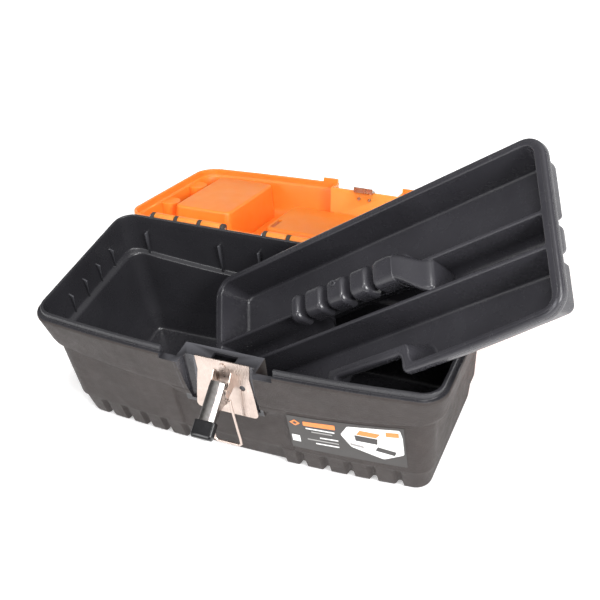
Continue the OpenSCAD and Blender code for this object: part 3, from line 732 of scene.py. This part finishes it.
class Nodes:
    """A material under construction."""

    def __init__(self, name):
        self.mat = bpy.data.materials.new(name)
        self.mat.use_nodes = True
        self.tree = self.mat.node_tree
        self.shader = next(n for n in self.tree.nodes if n.type == "BSDF_PRINCIPLED")
        self.coords = self.add("ShaderNodeTexCoord").outputs["Object"]

    def add(self, kind, **values):
        node = self.tree.nodes.new(kind)
        for key, value in values.items():
            setattr(node, key, value)
        return node

    def link(self, a, b):
        self.tree.links.new(a, b)

    def noise(self, scale, detail=3.0, rough=0.55, stretch=None):
        """Noise with features of about 1/scale metres; stretch scales the coordinates first."""
        source = self.coords
        if stretch:
            mapping = self.add("ShaderNodeMapping")
            mapping.inputs["Scale"].default_value = stretch
            self.link(source, mapping.inputs["Vector"])
            source = mapping.outputs["Vector"]
        n = self.add("ShaderNodeTexNoise")
        n.inputs["Scale"].default_value = scale
        n.inputs["Detail"].default_value = detail
        n.inputs["Roughness"].default_value = rough
        self.link(source, n.inputs["Vector"])
        return n.outputs["Fac"]

    def spread(self, value, low, high, start=0.3, end=0.7):
        """Maps value from start..end to low..high."""
        m = self.add("ShaderNodeMapRange")
        m.inputs["From Min"].default_value = start
        m.inputs["From Max"].default_value = end
        m.inputs["To Min"].default_value = low
        m.inputs["To Max"].default_value = high
        self.link(value, m.inputs["Value"])
        return m.outputs["Result"]

    def blend(self, factor, a, b):
        """Colour between a and b, each a colour or a socket."""
        m = self.add("ShaderNodeMix", data_type="RGBA")
        self.link(factor, m.inputs[0])
        for socket, value in ((m.inputs[6], a), (m.inputs[7], b)):
            if isinstance(value, tuple):
                socket.default_value = value + (1,)
            else:
                self.link(value, socket)
        return m.outputs[2]

    def bump(self, height, distance, strength=1.0, normal=None):
        """Normal bumped by height over distance metres, on top of an earlier normal."""
        b = self.add("ShaderNodeBump")
        b.inputs["Distance"].default_value = distance
        b.inputs["Strength"].default_value = strength
        self.link(height, b.inputs["Height"])
        if normal is not None:
            self.link(normal, b.inputs["Normal"])
        return b.outputs["Normal"]

    def soft_edges(self, radius):
        """Normal that rounds edges over radius metres."""
        b = self.add("ShaderNodeBevel", samples=4)
        b.inputs["Radius"].default_value = radius
        return b.outputs["Normal"]

    def edges(self, low=0.52, high=0.6):
        """1 on convex edges, 0 elsewhere."""
        geo = self.add("ShaderNodeNewGeometry")
        return self.spread(geo.outputs["Pointiness"], 0, 1, low, high)

    def plug(self, name, socket):
        self.link(socket, self.shader.inputs[name])

    def set(self, **values):
        for key, value in values.items():
            self.shader.inputs[key.replace("_", " ")].default_value = value


def grained_plastic(name, dark, light, rough, grain, depth, mottle=26.0, soft=0.0004, spec=0.5, edge_highlight=None):
    """Moulded plastic with a spark-eroded grain of about 1/grain metres, uneven gloss and a painted highlight along its
    convex edges.
    """
    n = Nodes(name)
    fine = n.noise(grain, 2.0, 0.6)
    cloud = n.noise(mottle, 4.0)
    colour = n.blend(n.spread(cloud, 0, 1), dark, light)
    speck = n.spread(fine, 0, 1, 0.35, 0.68)
    colour = n.blend(speck, colour, n.blend(n.spread(cloud, 0, 1), light, tuple(min(1, c * 1.35) for c in light)))
    # the convex edges are painted a lighter colour: a painted highlight
    if edge_highlight:
        colour = n.blend(n.edges(), colour, edge_highlight)
    n.plug("Base Color", colour)
    n.plug("Roughness", n.spread(n.noise(mottle * 5, 4.0), rough[0], rough[1]))
    n.plug("Normal", n.bump(fine, depth, 1.0, n.soft_edges(soft)))
    n.set(Specular_IOR_Level=spec)
    return n.mat


def smooth_plastic(name, dark, light, rough, soft=0.0005, scratches=True, spec=0.5, edge_highlight=None):
    """Polished moulded plastic with faint flow clouds, uneven gloss and hairline scratches."""
    n = Nodes(name)
    cloud = n.noise(14, 5.0)
    colour = n.blend(n.spread(cloud, 0, 1), dark, light)
    # the convex edges are painted a lighter colour: a painted highlight
    if edge_highlight:
        colour = n.blend(n.edges(0.53, 0.62), colour, edge_highlight)
    n.plug("Base Color", colour)
    gloss = n.noise(70, 6.0, 0.65)
    n.plug("Roughness", n.spread(gloss, rough[0], rough[1]))
    waves = n.noise(45, 3.0)
    normal = n.bump(waves, 0.00035, 0.35, n.soft_edges(soft))
    normal = n.bump(n.noise(900, 3.0), 0.00002, 0.5, normal)
    if scratches:
        lines = n.noise(260, 2.0, 0.5, stretch=(0.35, 3.2, 0.8))
        normal = n.bump(n.spread(lines, 0, 1, 0.62, 0.7), 0.00002, 0.4, normal)
    n.plug("Normal", normal)
    n.set(Specular_IOR_Level=spec)
    return n.mat


def orange_plastic():
    """Slightly translucent orange polypropylene."""
    n = Nodes("orange_plastic")
    cloud = n.noise(16, 5.0)
    colour = n.blend(n.spread(cloud, 0, 1), (0.90, 0.215, 0.020), (0.95, 0.265, 0.030))
    # the convex edges are painted a lighter orange: a painted highlight
    colour = n.blend(n.edges(0.53, 0.62), colour, (1.0, 0.38, 0.08))
    n.plug("Base Color", colour)
    n.plug("Roughness", n.spread(n.noise(80, 5.0), 0.34, 0.5))
    normal = n.bump(n.noise(40, 3.0), 0.0003, 0.3, n.soft_edges(0.0006))
    n.plug("Normal", n.bump(n.noise(1100, 2.0), 0.00002, 0.5, normal))
    n.set(Subsurface_Weight=0.35, Subsurface_Radius=(0.008, 0.0025, 0.0006), Subsurface_Scale=1.0)
    return n.mat


def bright_metal(name, dark, light, rough, stretch, spots=0.0):
    """Zinc-plated steel with rolling lines, faint stains and uneven gloss."""
    n = Nodes(name)
    stain = n.noise(60, 6.0, 0.7)
    colour = n.blend(n.spread(stain, 0, 1, 0.35, 0.7), light, dark)
    n.plug("Base Color", colour)
    streak = n.noise(420, 4.0, 0.6, stretch=stretch)
    n.plug("Roughness", n.spread(streak, rough[0], rough[1]))
    normal = n.bump(streak, 0.00004, 0.6, n.soft_edges(0.0003))
    n.plug("Normal", n.bump(n.noise(130, 3.0), 0.0002, 0.25, normal))
    n.set(Metallic=1.0)
    return n.mat


def gloss_black():
    """Dipped glossy plastic of the lever's tip."""
    n = Nodes("gloss_black")
    n.plug("Base Color", n.blend(n.spread(n.noise(90, 4.0), 0, 1), (0.006, 0.006, 0.007), (0.013, 0.013, 0.014)))
    n.plug("Roughness", n.spread(n.noise(200, 4.0), 0.1, 0.2))
    n.plug("Normal", n.bump(n.noise(120, 3.0), 0.0002, 0.3))
    n.set(Specular_IOR_Level=0.35, Coat_Weight=0.15, Coat_Roughness=0.08)
    return n.mat


def clear_plastic():
    """Clear covers, with uneven gloss."""
    n = Nodes("clear_plastic")
    n.plug("Base Color", n.blend(n.spread(n.noise(40, 3.0), 0, 1), (0.86, 0.9, 0.92), (0.93, 0.95, 0.96)))
    n.plug("Roughness", n.spread(n.noise(150, 5.0), 0.08, 0.2))
    n.plug("Normal", n.bump(n.noise(60, 2.0), 0.0002, 0.3))
    n.set(Transmission_Weight=0.9, IOR=1.49, Alpha=0.55)
    return n.mat


def print_ink(name, colour, rough=0.32, change=0.12):
    """Printed vinyl: a colour with a faint dot screen and uneven gloss."""
    n = Nodes(name)
    darker = tuple(c * (1 - change) for c in colour)
    n.plug("Base Color", n.blend(n.spread(n.noise(700, 2.0), 0, 1), darker, colour))
    n.plug("Roughness", n.spread(n.noise(120, 4.0), rough, rough + 0.1))
    n.plug("Normal", n.bump(n.noise(160, 3.0), 0.0001, 0.3))
    return n.mat


MAT = {
    # the lighter edge colours given last in these three materials are painted highlights along their convex edges
    "tub_out": grained_plastic("tub_grained", (0.0310, 0.0252, 0.0236), (0.0385, 0.0312, 0.0292), (0.5, 0.64), 1000,
                               0.0005, spec=0.25, edge_highlight=(0.085, 0.076, 0.072)),
    "tub_in": smooth_plastic("tub_smooth", (0.019, 0.0185, 0.0215), (0.029, 0.0285, 0.0325), (0.22, 0.34),
                             edge_highlight=(0.085, 0.085, 0.095)),
    "tray": smooth_plastic("tray_smooth", (0.027, 0.0262, 0.0310), (0.041, 0.040, 0.0465), (0.2, 0.32), soft=0.0008,
                           edge_highlight=(0.11, 0.11, 0.122)),
    "orange": orange_plastic(),
    "plate": bright_metal("zinc_plate", (0.47, 0.385, 0.34), (0.60, 0.505, 0.455), (0.22, 0.36), (1.0, 0.25, 0.06)),
    # the lever's metal colours are dark and brownish to paint in the dark reflection of its surroundings on its web
    "chrome": bright_metal("bright_lever", (0.30, 0.27, 0.25), (0.55, 0.53, 0.52), (0.12, 0.24), (0.2, 1.0, 1.0)),
    "steel": bright_metal("steel_rod", (0.5, 0.49, 0.48), (0.72, 0.70, 0.68), (0.18, 0.34), (0.06, 1.0, 1.0)),
    "black": gloss_black(),
    "handle": grained_plastic("handle_plastic", (0.012, 0.012, 0.013), (0.022, 0.022, 0.024), (0.38, 0.55), 900,
                              0.00012),
    "clear": clear_plastic(),
    "ink_dark": print_ink("label_ground", (0.035, 0.031, 0.029)),
    "ink_white": print_ink("label_white", (0.86, 0.85, 0.84), change=0.05),
    "ink_orange": print_ink("label_orange", (0.85, 0.25, 0.05)),
    "ink_grey": print_ink("label_grey", (0.32, 0.31, 0.30)),
}


# ---------- pieces ----------

def show(obj, body, node, materials, angle=35):
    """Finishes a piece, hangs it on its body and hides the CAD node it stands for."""
    finish_mesh(obj, materials, angle)
    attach(obj, body)
    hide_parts(node)


show(build_tub(), "tub", "body_shell", [MAT["tub_out"], MAT["tub_in"]])
show(opened(build_lid()), "lid", "lid_shell", [MAT["orange"]])
show(build_tray(), "tray", "tray", [MAT["tray"]])


def keep_node(name, material, width=0.0):
    """Gives a CAD node its material and, with a width in mm, rounded edges."""
    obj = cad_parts[name]
    for slot in obj.material_slots:
        slot.material = material
    if width:
        weld = obj.modifiers.new("weld", "WELD")
        weld.merge_threshold = 0.000002
        b = obj.modifiers.new("edge_rounding", "BEVEL")
        b.width = width * MM
        b.segments = 3
        b.limit_method = "ANGLE"
        b.angle_limit = math.radians(40)


# ---------- label ----------

def front_y(x, z):
    """Front wall of the tub between the foot and the band."""
    t = (z - WALL_LOW) / (dipped(WALL_HIGH, x) - WALL_LOW)
    reach = HALF_LEN - 28.5 + 3.3 * t
    bow = bow_at(WALL_LOW) + t * (bow_at(WALL_HIGH) - bow_at(WALL_LOW))
    return -(HALF_DEP - 10.4 + 2.9 * t) - float(hump(x, reach, bow))


def rounded_poly(corners, r, steps=5):
    """Polygon with each corner cut by a quadratic curve of about radius r."""
    out = []
    for i, p in enumerate(corners):
        p = np.array(p, float)
        a, b = np.array(corners[i - 1], float), np.array(corners[(i + 1) % len(corners)], float)
        s = p + (a - p) * min(0.45, r / np.linalg.norm(a - p))
        e = p + (b - p) * min(0.45, r / np.linalg.norm(b - p))
        for k in range(steps + 1):
            t = k / steps
            out.append(tuple(s * (1 - t) ** 2 + p * 2 * t * (1 - t) + e * t * t))
    return out


def split_at(bm, point, normal):
    """Cuts every face that a plane crosses."""
    bmesh.ops.bisect_plane(bm, geom=bm.verts[:] + bm.edges[:] + bm.faces[:], plane_co=point, plane_no=normal)


def sheet_piece(name, corners, off, mat, radius=0.8, thick=0.06):
    """Thin printed shape in (x, z) that follows the front wall, off mm away from it."""
    poly = rounded_poly(corners, radius)
    mesh = bpy.data.meshes.new(name)
    bm = bmesh.new()
    bm.faces.new([bm.verts.new((x, z, 0)) for x, z in poly])
    xs = [p[0] for p in poly]
    zs = [p[1] for p in poly]
    for x in np.arange(math.ceil(min(xs) / 6) * 6, max(xs), 6):
        split_at(bm, (x, 0, 0), (1, 0, 0))
    for z in np.arange(math.ceil(min(zs) / 8) * 8, max(zs), 8):
        split_at(bm, (0, z, 0), (0, 1, 0))
    for v in bm.verts:
        x, z = v.co.x, v.co.y
        v.co = Vector((x, front_y(x, z) - off, z)) * MM
    bmesh.ops.solidify(bm, geom=bm.faces[:], thickness=thick * MM)
    bmesh.ops.recalc_face_normals(bm, faces=bm.faces)
    for f in bm.faces:
        f.material_index = mat
    bm.to_mesh(mesh)
    bm.free()
    return add_object(name, mesh)


GROUND, WHITE, ORANGE, GREY = 0, 1, 2, 3
LABEL_LEFT, LABEL_RIGHT, LABEL_BOTTOM, LABEL_TOP = 46.5, 134, 30.5, 75.2
SHEET_OFF, PRINT_OFF, DRAWING_OFF = 0.26, 0.34, 0.4    # how far each layer lies off the wall


def build_label():
    """Plain printed panel: a dark ground with generic blocks of colour and a simple drawing of an open box."""
    upper = [(x, dipped(LABEL_TOP, x)) for x in (LABEL_RIGHT, 118, 102, 86, 70, 58, LABEL_LEFT)]
    parts = [sheet_piece("ground", [(LABEL_LEFT, LABEL_BOTTOM), (LABEL_RIGHT, LABEL_BOTTOM)] + upper, SHEET_OFF,
                         GROUND, 0.5)]
    white = [(86.5, 55.5), (92.5, 65.5), (131, 70), (132.5, 62), (132.5, 44), (117, 35.5), (93.5, 43.5)]
    parts.append(sheet_piece("arrow", white, PRINT_OFF, WHITE, 1.6))
    parts.append(sheet_piece("square", [(47.8, 38), (54.2, 38), (54.2, 45.2), (47.8, 45.2)], PRINT_OFF, WHITE, 0.5))
    parts.append(sheet_piece("bar", [(58.5, 57.5), (83, 59), (83, 64), (58.5, 62)], PRINT_OFF, ORANGE, 0.8))
    parts.append(sheet_piece("diamond", [(48, 59), (52.2, 56), (56.4, 59.3), (52.2, 62.4)], PRINT_OFF, ORANGE, 0.5))
    parts.append(sheet_piece("diamond_eye", [(50.2, 59.1), (52.2, 57.7), (54.2, 59.2), (52.2, 60.7)], DRAWING_OFF,
                             GROUND, 0.3))
    for k, (x0, x1, z) in enumerate(((60, 82, 54.3), (64, 80, 51.2), (70, 84, 46), (60, 84, 42.3), (66, 84, 38.8))):
        parts.append(sheet_piece("line", [(x0, z), (x1, z + 0.6), (x1, z + 1.9), (x0, z + 1.3)], PRINT_OFF,
                                 GREY if k % 2 else WHITE, 0.3))
    # drawing of a small open box, with its lid, its tray and a tag
    drawing = (
        ("box_front", [(97.5, 51.5), (113.5, 51), (114, 57), (97, 57.5)], GROUND, 0.5),
        ("box_lid", [(98.5, 58.3), (113, 58), (116.5, 62.8), (101.5, 63.5)], ORANGE, 0.5),
        ("box_tray", [(111.5, 44), (125.5, 41.5), (127, 45.8), (113.5, 48.4)], GROUND, 0.5),
        ("tag", [(120.5, 61.3), (130, 62.3), (130, 67), (120.5, 66)], ORANGE, 0.5),
        ("caption", [(93, 45.6), (103, 44.4), (103, 46.6), (93, 47.8)], GREY, 0.3))
    parts += [sheet_piece(name, shape, DRAWING_OFF, ink, radius) for name, shape, ink, radius in drawing]
    return join("label_piece", parts)


# ---------- latch lever and tip ----------

PIVOT = (0, -79.0, 84.5)
DROOP = math.radians(31.3)


def lever_place(a, u, n):
    """Lever frame: a across, u along it to its tip, n out of its web."""
    c, s = math.cos(DROOP), math.sin(DROOP)
    return (a, PIVOT[1] - u * c - n * s, PIVOT[2] - u * s + n * c)


# lower edge (u, n) of the lever's side walls
WING = [(-5.8, -1.0), (-4.2, -2.6), (-2.5, -3.6), (1.6, -4.6), (3.0, -6.4), (5.0, -6.8), (7.0, -6.3), (9.5, -2.5),
        (14, 0.6), (24.4, 3.2)]


def channel(half, top, low, r, t):
    """Open channel section: outer line over the crowned web, then back along the inner line."""
    outer = [(-half, low)]
    for k in range(7):
        q = math.radians(180 - 90 * k / 6)
        outer.append((-half + r + r * math.cos(q), top - r + r * math.sin(q)))
    for k in range(1, 8):
        a = -half + r + (2 * half - 2 * r) * k / 8
        outer.append((a, top + 1.15 * (1 - (a / (half - r)) ** 2)))
    for k in range(7):
        q = math.radians(90 - 90 * k / 6)
        outer.append((half - r + r * math.cos(q), top - r + r * math.sin(q)))
    outer.append((half, low))
    inner = [(half - t, low), (half - t, top - r), (half - t - 0.5, top - t),
             (-half + t + 0.5, top - t), (-half + t, top - r), (-half + t, low)]
    return outer + inner


def build_lever():
    """Bent channel lever with its pin hole and the bail's hole."""
    us = np.concatenate([np.linspace(-5.8, 9.5, 40), np.linspace(10, 24.4, 24)])
    wu, wn = [w[0] for w in WING], [w[1] for w in WING]
    rows = []
    for u in us:
        low = min(float(np.interp(u, wu, wn)), 4.2)
        end = round_off(-3.6 - u, 2.2)
        top = 5.4 + 1.6 * max(end, 0.05)
        rows.append([lever_place(a, u, n) for a, n in channel(6.3, top, low, 1.3, 0.95)])
    lever = loft("lever_piece", rows)
    spot = lever_place(0, 4.9, -4.4)
    bores = [x_rod("bore", -12, 12, PIVOT[1], PIVOT[2], PIN_BORE_R), x_rod("bore", -12, 12, spot[1], spot[2], 1.05)]
    return carve(lever, "DIFFERENCE", *bores)


def build_tip():
    """Dipped plastic tip: a rounded block with a crowned top and a soft front."""
    rows = []
    for u in np.concatenate([np.linspace(24.6, 26, 5), np.linspace(26.6, 34, 12), np.linspace(34.4, 37.6, 14)]):
        start = round_off(25.4 - u, 0.85)
        end = round_off(u - 34.4, 3.25)
        e = max(0.2, min(0.93 + 0.07 * start, 0.55 + 0.45 * end) if u < 37.5 else 0.5)
        half, top, low = 8.5 * (0.72 + 0.28 * e), 4.3 + 3.6 * e, 4.3 - 3.0 * e
        r = 1.9
        pts = []
        for cx, cn, start_deg in ((half - r, low + r, -90), (half - r, top - r, 0), (-half + r, top - r, 90),
                                  (-half + r, low + r, 180)):
            pts += arc(cx, cn, r, start_deg, 6)
        rows.append([lever_place(a, u, n + 0.35 * (1 - (a / half) ** 2) * (n > 4)) for a, n in pts])
    return loft("tip_piece", rows)


# clear() puts every face back on the first slot, so the faces' inks are read before it and set again after it
label = build_label()
index = np.zeros(len(label.data.polygons), dtype=np.int32)
label.data.polygons.foreach_get("material_index", index)
label.data.materials.clear()
for key in ("ink_dark", "ink_white", "ink_orange", "ink_grey"):
    label.data.materials.append(MAT[key])
label.data.polygons.foreach_set("material_index", index)
for node in ("latch_plate", "plate_rivets", "bail", "keeper", "keeper_rivets"):
    keep_node(node, MAT["plate"])
for node in ("hinge_pin_left", "hinge_pin_centre", "hinge_pin_right"):
    keep_node(node, MAT["steel"])
for node in ("cover_left", "cover_right"):
    keep_node(node, MAT["clear"])
keep_node("lever_pin", MAT["chrome"])
keep_node("carry_handle", MAT["handle"], width=1.0)
show(build_lever(), "lever", "latch_lever", [MAT["chrome"]])
show(build_tip(), "lever", "lever_tip", [MAT["black"]], 50)
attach(label, "tub")
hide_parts("front_label")


# ---------- floor and light ----------

def stage_plane(name, size, colour):
    """Pale floor at z = 0, with a little light of its own."""
    bm = bmesh.new()
    bmesh.ops.create_grid(bm, x_segments=1, y_segments=1, size=size)
    mesh = bpy.data.meshes.new(name)
    bm.to_mesh(mesh)
    bm.free()
    obj = add_object(name, mesh)
    n = Nodes(name)
    n.plug("Base Color", n.blend(n.spread(n.noise(3, 2.0), 0, 1), colour, tuple(min(1, c * 1.01) for c in colour)))
    n.set(Roughness=0.75, Specular_IOR_Level=0.2, Emission_Strength=0.42)
    n.shader.inputs["Emission Color"].default_value = (1, 1, 1, 1)
    mesh.materials.append(n.mat)


stage_plane("floor", 20.0, (0.93, 0.93, 0.93))

world = bpy.data.worlds.new("studio")
scene.world = world
world.use_nodes = True
sky = world.node_tree
back = sky.nodes["Background"]
back.inputs["Strength"].default_value = 0.7
split = sky.nodes.new("ShaderNodeSeparateXYZ")
sky.links.new(sky.nodes.new("ShaderNodeTexCoord").outputs["Generated"], split.inputs["Vector"])


def sky_fade(start, end, low, high):
    """Smooth change from low to high as the sky's height goes from start to end."""
    n = sky.nodes.new("ShaderNodeMapRange")
    n.interpolation_type = "SMOOTHSTEP"
    for key, value in (("From Min", start), ("From Max", end), ("To Min", low), ("To Max", high)):
        n.inputs[key].default_value = value
    sky.links.new(split.outputs["Z"], n.inputs["Value"])
    return n.outputs["Result"]


sky_sum = sky.nodes.new("ShaderNodeMath")
sky_sum.operation = "MAXIMUM"
# soft overhead light that fades towards the horizon, and a pale wall round the stage, low down
sky.links.new(sky_fade(0.45, 0.95, 0.14, 1.0), sky_sum.inputs[0])
sky.links.new(sky_fade(0.06, 0.34, 1.25, 0.0), sky_sum.inputs[1])
sky.links.new(sky_sum.outputs["Value"], back.inputs["Color"])


def softbox(name, place, target, size, watts):
    """Rectangular light at place, turned towards target."""
    light = bpy.data.lights.new(name, "AREA")
    light.shape = "RECTANGLE"
    light.size, light.size_y = size
    light.energy = watts
    obj = add_object(name, light)
    obj.location = place
    obj.rotation_euler = (Vector(target) - Vector(place)).to_track_quat("-Z", "Y").to_euler()


softbox("key", (1.5, -0.75, 1.15), (0.05, 0, 0.08), (0.7, 0.6), 34)
softbox("fill", (-0.7, -1.4, 1.1), (0, 0, 0.08), (0.8, 0.8), 11)
softbox("top", (0.33, -0.5, 1.8), (0, 0, 0.08), (0.45, 0.5), 18)
